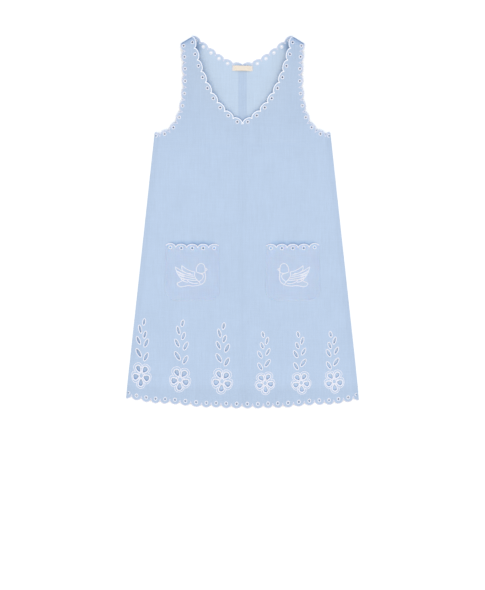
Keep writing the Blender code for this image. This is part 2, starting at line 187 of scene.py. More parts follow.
# satin stitch: half the width and half the height of each kind of band, and its stitch spacing
BORDER = dict(half=1.35, high=0.68, pitch=1.15)
RIM = dict(half=1.05, high=0.6, pitch=1.15)
RING = dict(half=1.3, high=0.66, pitch=1.0)
POCKET_RING = dict(half=1.25, high=0.6, pitch=1.0)
LEAF_RING = dict(half=1.42, high=0.7, pitch=1.0)
PETAL_RING = dict(half=1.75, high=0.74, pitch=1.0)
OUTLINE = dict(half=0.92, high=0.5, pitch=1.1)
SPOKE = dict(half=1.2, high=0.5, pitch=1.0)
BIRD_LINE = dict(half=1.08, high=0.46, pitch=1.1)
STITCH = dict(half=0.28, high=0.22, pitch=1.2)
BAND_SIDES = 8
BAND_FLATTEN = 0.55  # below 1 a band is flatter than an oval
BAND_END = 0.6  # how thick a band is at its ends
STITCH_DIP = 0.8  # height of a band between two stitches
STITCH_NARROW = 0.3  # how much of that dip its width has
STITCH_SPREAD = 0.08  # how uneven the stitches are
RING_OVERLAP = 0.1  # how far a ring's thread reaches over the edge of its hole
THREAD_GAP = 0.05  # clear space under thread that lies on the cloth

# label and pressed-open seam edges inside the back
LABEL_SIZE = (49.0, 12.6)
LABEL_UP = 373.0
LABEL_TILT = -0.026  # the label is sewn on slightly askew
LABEL_HIGH = 1.75  # how far it stands off the panel over the seam edges
LABEL_DROP_FROM = 11.5  # how far out it begins to come down, and over what width
LABEL_DROP_OVER = 9.0
LABEL_ARCH = 0.5  # how far its lower edge bows up, and over what height this grows
LABEL_ARCH_OVER = 12.0
ALLOWANCE_WIDTH = 10.0
ALLOWANCE_TOP = 378.0
ALLOWANCE_BOTTOM = -428.0
EDGE_CLOTH = 0.12  # pressed cloth of the seam edges
EDGE_GAP = 0.03
EDGE_LIFT = 0.03  # how far the loose side of a seam edge lifts
EDGE_LOOSE_FROM = 4.0
EDGE_LOOSE_OVER = 6.0
EDGE_WAVES = (23.0, 57.0)

# how finely lines, rings and panels are split
CURVE_STEPS = 600
SIDE_STEPS = 90
SHOULDER_STEPS = 12
POCKET_TOP_STEPS = 40
POCKET_SIDE_STEPS = 16
POCKET_TURN_STEPS = 18
SEAM_EDGE_STEPS = 160
LABEL_STEPS = (40, 10, 40, 10)
RING_CORNERS = 40
SEAM_RING_CORNERS = 30
HEART_CORNERS = 48
NET_STEP = dict(front=6.5, back=12.0, seam_edge=3.5, label=1.4, pocket=3.6)
NET_ROW = 0.866  # height of a row of points inside a panel, as a share of the step
NET_CLEAR = 0.45  # and how clear the points are of the edges


# Lines and loops

def smooth(t):
    """Soft step from 0 to 1."""
    t = np.clip(t, 0.0, 1.0)
    return t * t * (3.0 - 2.0 * t)


def bent_line(points):
    """A smooth line through a start and an end, drawn to the two points between them."""
    start, first, second, end = (np.array(p) for p in points)
    t = np.linspace(0.0, 1.0, CURVE_STEPS + 1)[:, None]
    s = 1.0 - t
    return s**3 * start + 3 * s * s * t * first + 3 * s * t * t * second + t**3 * end


def hem_line(middle):
    """The hem's curve from the side seam in to the middle."""
    across = np.linspace(HEM_END[0], 0.0, CURVE_STEPS + 1)
    return np.stack([across, middle + (HEM_END[1] - middle) * (across / HEM_END[0]) ** 2], 1)


def travel(line):
    """Distance along the line at each of its points."""
    return np.concatenate([[0.0], np.cumsum(np.linalg.norm(np.diff(line, axis=0), axis=1))])


def picked(values, so_far, distance):
    """Pairs of values at distances along a line."""
    return np.stack([np.interp(distance, so_far, values[:, k]) for k in (0, 1)], 1)


def along(line, distance):
    """Places and outward directions at distances along a line with the cloth on its right."""
    so_far = travel(line)
    way = picked(np.gradient(line, so_far, axis=0), so_far, distance)
    way /= np.linalg.norm(way, axis=1)[:, None]
    return picked(line, so_far, distance), np.stack([-way[:, 1], way[:, 0]], 1)


def scalloped(line, edge, inward=0.0, tail=0.0):
    """Cut edge with scallops along a line, and the middles of its eyelets."""
    length = travel(line)[-1]
    first, last = edge["cut_first"], edge["count"] - edge["cut_last"]

    def place(number):
        share = (number - first) / (last - first)
        drawn = edge["early"] * (1.0 - share) + edge["late"] * share
        return length * share * (1.0 + drawn * (1.0 - share))

    steps = np.arange(math.ceil(first * SCALLOP_STEPS), math.floor(last * SCALLOP_STEPS) + 1)
    number = np.unique(np.concatenate([[first, last], steps / SCALLOP_STEPS]).round(6))
    part = number % 1.0
    spot, outward = along(line, place(number))
    bulge = edge["rise"] * (4.0 * part * (1.0 - part)) ** SCALLOP_ROUND - inward
    bulge = bulge - tail * np.exp(-(np.minimum(part, 1.0 - part) / NOTCH_TAIL_WIDE) ** 2)
    outline = spot + outward * bulge[:, None]
    middle = np.arange(edge["count"]) + 0.5
    middle = middle[(middle > first + EYELET_ROOM) & (middle < last - EYELET_ROOM)]
    spot, outward = along(line, place(middle))
    return outline, spot - outward * edge["inset"]


def settled(x, y):
    """Where spots lie, with the right-hand corner of the hem a little lower and its edge uneven."""
    across = smooth((x - CORNER_DROP_X[0]) / (CORNER_DROP_X[1] - CORNER_DROP_X[0]))
    down = smooth((y - CORNER_DROP_Y[0]) / (CORNER_DROP_Y[1] - CORNER_DROP_Y[0]))
    near = smooth((HEM_SHIFT_FROM - y) / HEM_SHIFT_EASE)
    at, sideways, up = np.array(HEM_SHIFTS).T
    raised = near * np.interp(x, at, up) - CORNER_DROP * across * down
    return x + near * np.interp(x, at, sideways), y + raised


def flipped(points):
    """The same points on the other side of the middle, in the other order."""
    return np.asarray(points)[::-1] * (-1.0, 1.0)


def circle(middle, radius, corners, start=0.0, turn=2 * math.pi):
    """Points round a circle, or round a part of one."""
    a = start + turn * np.arange(corners) / corners
    return np.asarray(middle) + radius * np.stack([np.cos(a), np.sin(a)], 1)


def turned(angle):
    """Directions along and across a line at an angle."""
    way = np.array([math.cos(angle), math.sin(angle)])
    return way, np.array([-way[1], way[0]])


def stem_place(stem, spot):
    """A spot of the full-size stem, on one of the six stems."""
    return spot * (stem["wide"] * stem["turn"], stem["tall"]) + (stem["across"], stem["up"])


def drop(stem, petal, a, rim, beside):
    """Drop-shaped line outside a petal's hole: that far off it at its tip and beside it."""
    out, side = turned(math.radians(petal["way"]))
    far = petal["far"] - (petal["long"] / 2 + rim) * np.cos(a)
    wide = (petal["wide"] / 2 + beside) * np.sin(a) * (1.0 - PETAL_POINT * np.cos(a))
    return stem_place(stem, far[:, None] * out + wide[:, None] * side)


def petal_loop(stem, petal, grow=0.0):
    """Drop-shaped hole of a petal, or a loop that much outside it."""
    return drop(stem, petal, 2 * math.pi * np.arange(PETAL_CORNERS) / PETAL_CORNERS, grow, grow)


def leaf_loop(stem, leaf, grow=0.0):
    """Pointed oval hole of a leaf, or a loop that much outside it."""
    high = min(max((leaf["up"] - LEAVES_SHIFT_FROM) / LEAVES_SHIFT_EASE, 0.0), 1.0)
    way, side = turned(math.radians(90.0 - leaf["lean"]))
    a = 2 * math.pi * np.arange(LEAF_CORNERS) / LEAF_CORNERS
    far = (leaf["long"] / 2 + grow * LEAF_RING_LONG) * np.cos(a)
    wide = (leaf["wide"] / 2 + grow) * np.sin(a) * np.abs(np.sin(a)) ** LEAF_POINT
    spot = far[:, None] * way + wide[:, None] * side + (leaf["across"], leaf["up"])
    moved = np.array(stem["low"]) + high * np.array(stem["top"])
    return stem_place(stem, spot) + moved


def between(start, end, steps):
    """Points that split a straight edge, without its ends."""
    t = np.arange(1, steps)[:, None] / steps
    return start + (np.asarray(end) - start) * t


# The outlines

neck, neck_eyelets = scalloped(bent_line(NECK_LINE), EDGES["neck"])
arm, arm_eyelets = scalloped(bent_line(ARM_LINE), EDGES["arm"])
hem, hem_eyelets = scalloped(hem_line(HEM_MIDDLE), EDGES["hem"])
back_neck, back_neck_eyelets = scalloped(bent_line(BACK_NECK_LINE), EDGES["back_neck"])
back_arm, back_arm_eyelets = scalloped(bent_line(BACK_ARM_LINE), EDGES["arm"])
back_hem, back_hem_eyelets = scalloped(hem_line(BACK_HEM_MIDDLE), EDGES["hem"])
underarm, corner = arm[-1], hem[0]
shoulder_in, shoulder_out = neck[-1], arm[0]
side = between(underarm, corner, SIDE_STEPS)
shoulder = between(shoulder_in, shoulder_out, SHOULDER_STEPS)
half = np.concatenate([neck, shoulder, arm, side, hem])
front_outline = np.concatenate([half, flipped(half[1:-1])])
half_eyelets = np.concatenate([neck_eyelets, arm_eyelets, hem_eyelets])
front_eyelets = np.concatenate([half_eyelets, flipped(half_eyelets)])
front_holes = [circle(p, EYELET_RADIUS, EYELET_CORNERS) for p in front_eyelets]
for spot in SEAM_EYELETS:
    for sign in (-1.0, 1.0):
        front_holes.append(circle((sign * spot[0], spot[1]), SEAM_EYELET_RADIUS, EYELET_CORNERS))
for stem in STEMS:
    front_holes += [petal_loop(stem, petal) for petal in PETALS]
    front_holes += [leaf_loop(stem, leaf) for leaf in LEAVES]
back_outline = np.concatenate([back_neck, shoulder, back_arm, side, back_hem])
back_outline[:, 0] = np.maximum(back_outline[:, 0], BACK_MIDDLE_GAP)
back_outline = np.concatenate([back_outline, between(back_outline[-1], back_outline[0], SIDE_STEPS)])
back_eyelets = np.concatenate([back_neck_eyelets, back_arm_eyelets, back_hem_eyelets])
back_holes = [circle(p, EYELET_RADIUS, EYELET_CORNERS) for p in back_eyelets]


def pocket_outline(middle):
    """Patch pocket: its outline, its eyelets and the path of the satin border along its top."""
    line = np.linspace((-POCKET_TOP_HALF, POCKET_TOP), (POCKET_TOP_HALF, POCKET_TOP), POCKET_TOP_STEPS)
    top, eyelets = scalloped(line, EDGES["pocket"])
    inner, _ = scalloped(line, EDGES["pocket"], BORDER["half"], NOTCH_TAIL)
    turn = (POCKET_BOTTOM_HALF - POCKET_CORNER, POCKET_BOTTOM + POCKET_CORNER)
    corners = POCKET_TURN_STEPS + 1
    lower = circle(turn, POCKET_CORNER, corners, 0.0, -math.pi / 2 * corners / POCKET_TURN_STEPS)
    right = np.concatenate([between(top[-1], lower[0], POCKET_SIDE_STEPS), lower])
    base = between(right[-1], right[-1] * (-1.0, 1.0), POCKET_SIDE_STEPS)
    outline = np.concatenate([top, right, base, flipped(right)])
    placed = []
    for points in (outline, eyelets, inner):
        points = points + (middle, 0.0)
        outer = np.exp(-((np.abs(points[:, 0]) - OUTER_SCALLOP) / OUTER_SCALLOP_WIDE) ** 2)
        upper = smooth((points[:, 1] - POCKET_TOP + OUTER_SCALLOP_FROM) / OUTER_SCALLOP_OVER)
        points[:, 1] += OUTER_SCALLOP_LIFT * outer * upper
        placed.append(points)
    return placed


# Where the cloth lies

# the neckline with fewer points, to measure distances from
NECK_PATH = bent_line(NECK_LINE)[::6]

# soft folds of the front: across at the hem and at the top, where it is highest and how far
# it reaches along the dress, how wide it is, and how high or deep
FOLDS = table(
    "low top up reach wide high",
    (-205.0, -150.0, -330.0, 190.0, 26.0, 0.6),
    (-120.0, -96.0, -300.0, 240.0, 30.0, -0.5),
    (-22.0, -14.0, -260.0, 330.0, 24.0, 0.5),
    (30.0, 20.0, -330.0, 260.0, 22.0, -0.5),
    (96.0, 80.0, -290.0, 200.0, 30.0, 0.5),
    (190.0, 140.0, -320.0, 220.0, 28.0, -0.5),
    (246.0, 196.0, -250.0, 200.0, 20.0, 0.5),
    (-250.0, -200.0, -160.0, 180.0, 22.0, -0.5),
    (-262.0, -236.0, -300.0, 55.0, 10.0, 1.6),
    (-226.0, -196.0, -300.0, 60.0, 9.0, -0.7),
    (-152.0, -150.0, -375.0, 34.0, 24.0, 0.8),
    (-90.0, -70.0, 110.0, 120.0, 36.0, 0.6),
    (80.0, 64.0, 60.0, 150.0, 34.0, -0.5),
    (150.0, 170.0, 150.0, 70.0, 20.0, 0.6),
    (-160.0, -172.0, 140.0, 80.0, 20.0, 0.6),
    (-130.0, -130.0, 330.0, 60.0, 12.0, -0.8),
    (128.0, 128.0, 350.0, 55.0, 12.0, -0.7),
)
FOLDS_FROM = -440.0  # height of the hem and of the top, as the table has them
FOLDS_TO = 440.0
# faint creases across: from where to where, how high up, how wide and deep, how wavy
CREASES = table(
    "start end up wide deep bow",
    (-108.0, -14.0, 189.0, 5.0, 0.5, 1.2),
    (14.0, 142.0, 190.5, 5.0, 0.5, -1.0),
    (-190.0, -120.0, 176.0, 7.0, 0.3, 2.0),
    (60.0, 200.0, -404.0, 8.0, 0.35, 2.0),
)
CREASE_EASE = 16.0
CREASE_WAVE = 23.0
# faint waves of the cloth: their depth, their lengths across and up, and how they bend and lean
WAVE_DEPTH = 0.12
WAVE_ACROSS, WAVE_UP = 19.0, 31.0
WAVE_BEND, WAVE_BEND_UP = 1.3, 47.0
WAVE_LEAN = 90.0


def off_line(x, y, start, end):
    """Distance of spots from the straight line through two points."""
    way = (end - start) / np.linalg.norm(end - start)
    return np.abs(way[0] * (y - start[1]) - way[1] * (x - start[0]))


def off_neck(x, y):
    """Distance of spots from the neckline, where they are high enough up to matter."""
    off = np.full(x.shape, 1e3)
    upper = y > NECK_FELT_ABOVE
    if upper.any():
        spots = np.stack([np.abs(x[upper]), y[upper]], 1)
        off[upper] = np.linalg.norm(spots[:, None] - NECK_PATH[None], axis=2).min(1)
    return off


def creased(x, y):
    """How far the front stands off the back, with its folds, creases and waves."""
    high = HEM_HEIGHT + (CHEST_HEIGHT - HEM_HEIGHT) * smooth((y - CHEST_FROM) / (CHEST_TO - CHEST_FROM))
    upward = (y - FOLDS_FROM) / (FOLDS_TO - FOLDS_FROM)
    for fold in FOLDS:
        centre = fold["low"] + (fold["top"] - fold["low"]) * upward
        near = np.exp(-(((x - centre) / fold["wide"]) ** 2 + ((y - fold["up"]) / fold["reach"]) ** 2))
        high = high + fold["high"] * near
    for crease in CREASES:
        across = smooth((x - crease["start"]) / CREASE_EASE) * smooth((crease["end"] - x) / CREASE_EASE)
        off = (y - crease["up"] - crease["bow"] * np.sin(x / CREASE_WAVE)) / crease["wide"]
        high = high - crease["deep"] * across * np.exp(-off * off)
    bent = np.sin(x / WAVE_ACROSS + WAVE_BEND * np.sin(y / WAVE_BEND_UP))
    high = high + WAVE_DEPTH * bent * np.sin(y / WAVE_UP + x / WAVE_LEAN)
    return np.maximum(high, LEAST_HEIGHT)


def front_under(x, y):
    """Height of the front's underside."""
    side_off = off_line(np.abs(x), y, underarm, corner)
    shoulder_off = off_line(np.abs(x), y, shoulder_in, shoulder_out)
    grown = smooth((y - NECK_RAISE_FROM) / NECK_RAISE_OVER)
    raised = NECK_RAISE * (NECK_RAISE_LEAST + (1.0 - NECK_RAISE_LEAST) * grown)
    raised = raised * np.exp(-off_neck(x, y) / NECK_RAISE_EASE) * smooth(shoulder_off / NECK_SHOULDER_EASE)
    rise = (1.0 - np.exp(-side_off / SEAM_EASE)) * (creased(x, y) + raised)
    fold_over = 1.0 - np.exp(-shoulder_off / SHOULDER_FOLD)
    near_shoulder = np.exp(-shoulder_off / SHOULDER_FADE)
    rise = rise * (1.0 - near_shoulder) + near_shoulder * SHOULDER_HEIGHT * fold_over
    return CLOTH + SEAM_GAP + rise


def pocket_rise(x, y, middle):
    """How far a pocket stands off the front."""
    across = np.abs(x - middle)
    up = y - POCKET_BOTTOM
    share = np.clip(up / (POCKET_TOP - POCKET_BOTTOM), 0.0, 1.0)
    edge = POCKET_BOTTOM_HALF + (POCKET_TOP_HALF - POCKET_BOTTOM_HALF) * share
    inward = np.minimum(edge - across, up)
    turn_x, turn_y = edge - across - POCKET_CORNER, up - POCKET_CORNER
    in_turn = (turn_x < 0) & (turn_y < 0)
    inward = np.where(in_turn, POCKET_CORNER - np.hypot(turn_x, turn_y), inward)
    waves = sum(deep * np.sin((x - middle) / length + start) for deep, length, start in MOUTH_WAVES)
    mouth = share ** POCKET_CURVE * (1.0 + waves)
    high = POCKET_EVEN_HEIGHT * share + (POCKET_HEIGHT - POCKET_EVEN_HEIGHT) * mouth
    return high * (1.0 - np.exp(-(np.maximum(inward, 0.0) / POCKET_EASE) ** 2))


def pocket_under(middle):
    """Height of a pocket's underside."""
    def under(x, y):
        return front_under(x, y) + CLOTH + POCKET_GAP + pocket_rise(x, y, middle)
    return under


def back_under(x, y):
    """The back lies on the surface."""
    return np.zeros(x.shape)


def allowance_under(x, y):
    """The pressed-open seam edges lie on the inside of the back, not quite flat."""
    loose = smooth((np.abs(x) - EDGE_LOOSE_FROM) / EDGE_LOOSE_OVER)
    wavy = 1.0 + np.sin(y / EDGE_WAVES[0]) * np.sin(y / EDGE_WAVES[1] + 1.0)
    return CLOTH + EDGE_GAP + loose * EDGE_LIFT * wavy


def label_under(x, y):
    """The label lies over the seam edges and comes down to the panel at its ends."""
    drop = smooth((np.abs(x) - LABEL_DROP_FROM) / LABEL_DROP_OVER)
    long, tall = LABEL_SIZE
    lower = smooth((LABEL_UP + tall / 2 - y) / LABEL_ARCH_OVER)
    arch = LABEL_ARCH * np.cos(np.clip(2 * x / long, -1, 1) * math.pi / 2) * lower
    return CLOTH + SEAM_GAP + LABEL_HIGH * (1.0 - drop) + arch


# Meshes

def on_cloth(points, loops):
    """Which points are inside the outline and outside the holes."""
    inside = np.zeros(len(points), bool)
    x, y = points[:, 0], points[:, 1]
    for loop in loops:
        for (ax, ay), (bx, by) in zip(loop, np.roll(loop, -1, axis=0)):
            if ay != by:
                spans = (ay > y) != (by > y)
                inside ^= spans & (x < ax + (y - ay) * (bx - ax) / (by - ay))
    return inside


def filling(loops, step, clear):
    """Evenly spread points on the cloth, clear of its edges."""
    low, high = loops[0].min(0), loops[0].max(0)
    rows = np.arange(low[1], high[1], step * NET_ROW)
    spots = []
    for number, up in enumerate(rows):
        across = np.arange(low[0] + (step / 2 if number % 2 else 0.0), high[0], step)
        spots.append(np.stack([across, np.full(len(across), up)], 1))
    spots = np.concatenate(spots)
    spots = spots[on_cloth(spots, loops)]
    edges = np.concatenate(loops)
    near = [np.linalg.norm(edges - p, axis=1).min() > clear for p in spots]
    return spots[np.array(near)]


def finish_piece(piece, material, replaced=()):
    """Put a piece in the scene, on the dress's one body."""
    bpy.context.scene.collection.objects.link(piece)
    piece.data.materials.append(material)
    for face in piece.data.polygons:
        face.use_smooth = True
    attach(piece, "root")
    if replaced:
        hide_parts(*replaced)
    return piece


def cloth_piece(name, loops, under, wall, step, material, replaced=()):
    """A panel: its outline filled round its holes, laid where it lies, and given thickness."""
    spots = filling(loops, step, step * NET_CLEAR)
    flat = np.concatenate([*loops, spots])
    ends = np.cumsum([len(loop) for loop in loops])
    rims = [list(range(end - len(loop), end)) for loop, end in zip(loops, ends)]
    found = delaunay_2d_cdt([Vector(p) for p in flat], [], rims, 2, 1e-4)
    verts, faces = np.array([tuple(v) for v in found[0]]), found[2]
    high = under(verts[:, 0], verts[:, 1])
    used = sorted({v for face in faces for v in face})
    number = {v: n for n, v in enumerate(used)}
    points = np.column_stack([*settled(verts[:, 0], verts[:, 1]), high])[used] * MM
    mesh = bpy.data.meshes.new(name)
    mesh.from_pydata(points.tolist(), [], [[number[v] for v in face] for face in faces])
    if mesh.polygons[0].normal.z < 0:
        mesh.flip_normals()
    piece = bpy.data.objects.new(name, mesh)
    thick = piece.modifiers.new("thickness", "SOLIDIFY")
    thick.thickness = wall * MM
    thick.offset = 1.0
    thick.use_rim = True
    even = piece.modifiers.new("even_shading", "WEIGHTED_NORMAL")
    even.weight = 100
    return finish_piece(piece, material, replaced)


def flat_area(loops):
    """Area of a cut with holes, in square metres."""
    def one(loop):
        x, y = loop[:, 0], loop[:, 1]
        return abs(np.dot(x, np.roll(y, -1)) - np.dot(y, np.roll(x, -1))) / 2
    return (one(loops[0]) - sum(one(loop) for loop in loops[1:])) * MM * MM


class Bands:
    """Many bands of satin stitch in one mesh."""

    def __init__(self):
        self.points, self.faces, self.count = [], [], 0

    def add(self, path, closed, kind, middle_height):
        """One band along a path. middle_height gives the height of the band's middle."""
        path = np.asarray(path, float)
        if closed:
            path = np.concatenate([path, path[:1]])
        so_far = travel(path)
        steps = max(6, 2 * round(so_far[-1] / kind["pitch"]))
        at = so_far[-1] * np.arange(steps if closed else steps + 1) / steps
        spot = picked(path, so_far, at)
        if closed:
            way = np.roll(spot, -1, axis=0) - np.roll(spot, 1, axis=0)
        else:
            way = np.gradient(spot, axis=0)
        way /= np.maximum(np.linalg.norm(way, axis=1), 1e-9)[:, None]
        across = np.stack([-way[:, 1], way[:, 0]], 1)
        rows = len(spot)
        ridge = np.where(np.arange(rows) % 2 == 0, 1.0, STITCH_DIP)
        uneven = 1.0 + STITCH_SPREAD * rng.uniform(-1, 1, rows)
        if not closed:
            uneven[0] = uneven[-1] = BAND_END
        a = 2 * math.pi * np.arange(BAND_SIDES) / BAND_SIDES
        rise = np.sign(np.sin(a)) * np.abs(np.sin(a)) ** BAND_FLATTEN
        narrow = 1.0 - STITCH_NARROW + STITCH_NARROW * ridge
        out = kind["half"] * np.cos(a)[None] * (uneven * narrow)[:, None]
        up = kind["high"] * rise[None] * (ridge * uneven)[:, None]
        x = spot[:, :1] + across[:, :1] * out
        y = spot[:, 1:] + across[:, 1:] * out
        z = middle_height(x.ravel(), y.ravel()).reshape(x.shape) + up
        z = np.maximum(z, 0.0)
        self.points.append(np.stack([*settled(x, y), z], 2).reshape(-1, 3))
        corner = np.arange(BAND_SIDES)
        for row in range(rows if closed else rows - 1):
            here = self.count + row * BAND_SIDES
            there = self.count + ((row + 1) % rows) * BAND_SIDES
            following = (corner + 1) % BAND_SIDES
            quads = np.stack([here + corner, there + corner, there + following, here + following], 1)
            self.faces += quads.tolist()
        if not closed:
            last = self.count + (rows - 1) * BAND_SIDES
            self.faces.append([self.count + k for k in range(BAND_SIDES)])
            self.faces.append([last + k for k in reversed(range(BAND_SIDES))])
        self.count += rows * BAND_SIDES

    def piece(self, name, material, slot):
        """The finished mesh of all the bands."""
        mesh = bpy.data.meshes.new(name)
        mesh.from_pydata((np.concatenate(self.points) * MM).tolist(), [], self.faces)
        return finish_piece(bpy.data.objects.new(name, mesh), material)


# Materials

def put(node, values):
    """Give inputs of a node their values."""
    for name, value in values.items():
        node.inputs[name].default_value = value


class Value:
    """A number that varies over a surface: what is summed with it becomes nodes."""

    def __init__(self, tree, socket):
        self.tree, self.socket = tree, socket

    def sums(self, kind, other=0.0):
        """One sum on this and a number or another value."""
        node = self.tree.nodes.new("ShaderNodeMath")
        node.operation = kind
        self.tree.links.new(self.socket, node.inputs[0])
        if isinstance(other, Value):
            self.tree.links.new(other.socket, node.inputs[1])
        else:
            node.inputs[1].default_value = other
        return Value(self.tree, node.outputs["Value"])

    def __add__(self, other):
        return self.sums("ADD", other)

    __radd__ = __add__

    def __sub__(self, other):
        return self.sums("SUBTRACT", other)

    def __mul__(self, other):
        return self.sums("MULTIPLY", other)

    def __abs__(self):
        return self.sums("ABSOLUTE")

    def ramp(self, start, end):
        """Soft step of a length, from 0 where it is the start to 1 where it is the end, in mm."""
        step = self.tree.nodes.new("ShaderNodeMapRange")
        step.interpolation_type = "SMOOTHSTEP"
        put(step, {"From Min": start * MM, "From Max": end * MM})
        self.tree.links.new(self.socket, step.inputs["Value"])
        return Value(self.tree, step.outputs["Result"])


def new_material(name, colour, rough):
    """A material with its shader and the place where colour and bump are made."""
    material = bpy.data.materials.new(name)
    material.use_nodes = True
    tree = material.node_tree
    shader = tree.nodes["Principled BSDF"]
    put(shader, {"Base Color": (*colour, 1.0), "Roughness": rough})
    where = tree.nodes.new("ShaderNodeTexCoord")
    return material, tree, shader, where.outputs["Object"]


def axes(tree, where):
    """How far a place is across, up the dress, and above the floor."""
    parts = tree.nodes.new("ShaderNodeSeparateXYZ")
    tree.links.new(where, parts.inputs["Vector"])
    return [Value(tree, parts.outputs[axis]) for axis in "XYZ"]


def noise(tree, where, size, detail, rough):
    """Noise with its own size along each axis, in millimetres."""
    mapping = tree.nodes.new("ShaderNodeMapping")
    put(mapping, {"Scale": [1.0 / (s * MM) for s in size]})
    tree.links.new(where, mapping.inputs["Vector"])
    texture = tree.nodes.new("ShaderNodeTexNoise")
    put(texture, {"Scale": 1.0, "Detail": detail, "Roughness": rough})
    tree.links.new(mapping.outputs["Vector"], texture.inputs["Vector"])
    return Value(tree, texture.outputs["Fac"])


def threads(place, pitch):
    """Rows of threads, side by side along one axis."""
    return (place * (2 * math.pi / (pitch * MM))).sums("SINE")


def even_tone(noises):
    """A tone that is 1 on average, from noises and the share of each."""
    base = 1.0 - sum(share for _, share in noises) / 2
    return sum((value * share for value, share in noises), base)


def tinted(shader, colour, tone):
    """Base colour times a tone that varies over the surface."""
    scale = tone.tree.nodes.new("ShaderNodeVectorMath")
    scale.operation = "SCALE"
    scale.inputs[0].default_value = colour
    tone.tree.links.new(tone.socket, scale.inputs["Scale"])
    tone.tree.links.new(scale.outputs["Vector"], shader.inputs["Base Color"])


def filtered(shader, mask, tint):
    """Change the base colour by a tint where the mask says so."""
    links = mask.tree.links
    colour = shader.inputs["Base Color"].links[0].from_socket
    change, share, times = (mask.tree.nodes.new("ShaderNodeVectorMath") for _ in range(3))
    change.operation, share.operation, times.operation = "SCALE", "ADD", "MULTIPLY"
    change.inputs[0].default_value = [part - 1.0 for part in tint]
    links.new(mask.socket, change.inputs["Scale"])
    share.inputs[0].default_value = (1.0, 1.0, 1.0)
    links.new(change.outputs["Vector"], share.inputs[1])
    links.new(colour, times.inputs[0])
    links.new(share.outputs["Vector"], times.inputs[1])
    links.new(times.outputs["Vector"], shader.inputs["Base Color"])


def bumped(shader, height, distance, strength):
    """Bump from a height."""
    bump = height.tree.nodes.new("ShaderNodeBump")
    put(bump, {"Distance": distance * MM, "Strength": strength})
    height.tree.links.new(height.socket, bump.inputs["Height"])
    height.tree.links.new(bump.outputs["Normal"], shader.inputs["Normal"])


# the linen's tone: slubs of warp and of weft, wide streaks of both, and blotches, each with its
# size along each axis, its detail and roughness, and its share
WEAVE = table(
    "size detail rough share",
    ((1.1, 26.0, 26.0), 3.0, 0.65, 0.17),
    ((26.0, 1.1, 26.0), 3.0, 0.65, 0.11),
    ((3.4, 90.0, 60.0), 2.0, 0.6, 0.1),
    ((90.0, 3.4, 60.0), 2.0, 0.6, 0.06),
    ((55.0, 70.0, 60.0), 3.0, 0.55, 0.08),
)
THREAD_PITCH = 0.62
THREAD_SHARE = 0.12  # how much the single threads show in the bump


def linen(name, colour, seams_and_shade=False, glow=0.0, tints=()):
    """Slubby plain weave: streaks along and across, fine threads, soft blotches."""
    material, tree, shader, where = new_material(name, colour, 0.86)
    put(shader, {"Subsurface Weight": glow, "Subsurface Radius": (0.35, 0.65, 1.0),
                 "Subsurface Scale": 1.2 * MM, "Sheen Weight": 0.12, "Sheen Roughness": 0.5,
                 "Specular IOR Level": 0.25})
    x, y, z = axes(tree, where)
    streaks = [noise(tree, where, row["size"], row["detail"], row["rough"]) for row in WEAVE]
    tone = even_tone([(streak, row["share"]) for streak, row in zip(streaks, WEAVE)])
    tinted(shader, colour, tone - seams_and_painted_shade(x, y) if seams_and_shade else tone)
    for mask, tint in tints:
        filtered(shader, mask(x, y, z), tint)
    weave = threads(x, THREAD_PITCH) * threads(y, THREAD_PITCH) * THREAD_SHARE
    bumped(shader, weave + (streaks[0] + streaks[1]), distance=0.25, strength=0.55)
    return material


def off_seam(x, y, start, end):
    """Distance from the seam between two points: above 0 on the right of the way along it."""
    way = (end - start) / np.linalg.norm(end - start)
    return abs(x) * way[1] - y * way[0] - (way[1] * start[0] - way[0] * start[1]) * MM


def inner_face(z):
    """The upper face of the back, which is its inside."""
    return z.sums("GREATER_THAN", CLOTH / 2 * MM)


# Where the cloth is tinted with painted light and shade, and by what share of each colour.
# A tint's soft edge goes from where it begins to where it is full.
UNDER_FRONT_SHADE_TINT = (0.89, 0.94, 1.03)  # painted bluish shade where light comes through the blue front
UNDER_FROM = 238.0  # the neckline's point, and how fast it opens
UNDER_SPREAD = 8.5
UNDER_SIDE = (4.0, 12.0)
UNDER_POINT = (2.0, 12.0)
# painted bluish light and shade on the front under the pockets, seen through their eyelets
UNDER_POCKET_BLUE_LIGHT_TINT = (0.7, 0.97, 1.16)
UNDER_POCKET = dict(sides=(0.0, 3.0), top=(4.0, 0.0), base=(-34.0, -24.0))
MOUTH_TINT = (0.87, 0.94, 0.99)  # soft shade above the mouth
MOUTH = dict(sides=(4.0, 20.0), top=(17.0, 11.0), base=(0.5, 7.0))
# painted shade along the fold of each shoulder
SHOULDER_SHADE_TINT = (0.6, 0.65, 0.72)
SHOULDER_EDGE = (-5.0, -0.5)
# painted shade on the back's inside under each strap
UNDER_STRAP_SHADE_TINT = (0.55, 0.64, 0.76)
UNDER_STRAP = (112.0, 429.0)
UNDER_STRAP_REACH = (25.0, 2.0)
STEMS_TOP = (-200.0, -225.0)
# painted light on the back's inside under the right-hand stems, seen through their holes
RIGHT_STEMS_LIGHT_TINT = (1.06, 1.06, 1.05)
RIGHT_STEMS = (-90.0, 70.0)
# painted shade on the back's inside under the first stem, seen through its holes
FIRST_STEM_SHADE_TINT = (0.84, 0.88, 0.92)
FIRST_STEM = (-195.0, -225.0)


def under_front(x, y, z):
    """The inner face of the back where the front lies over it, painted with the bluish shade of the light
    that comes through it.
    """
    above = (y - UNDER_FROM * MM).sums("MAXIMUM", 0.0)
    opening = above.sums("SQRT") * (UNDER_SPREAD * MM ** 0.5)
    beside = (abs(x) - opening).ramp(*UNDER_SIDE)
    below = (y * -1.0).ramp(*(off - UNDER_FROM for off in UNDER_POINT))
    return beside.sums("MAXIMUM", below) * inner_face(z)


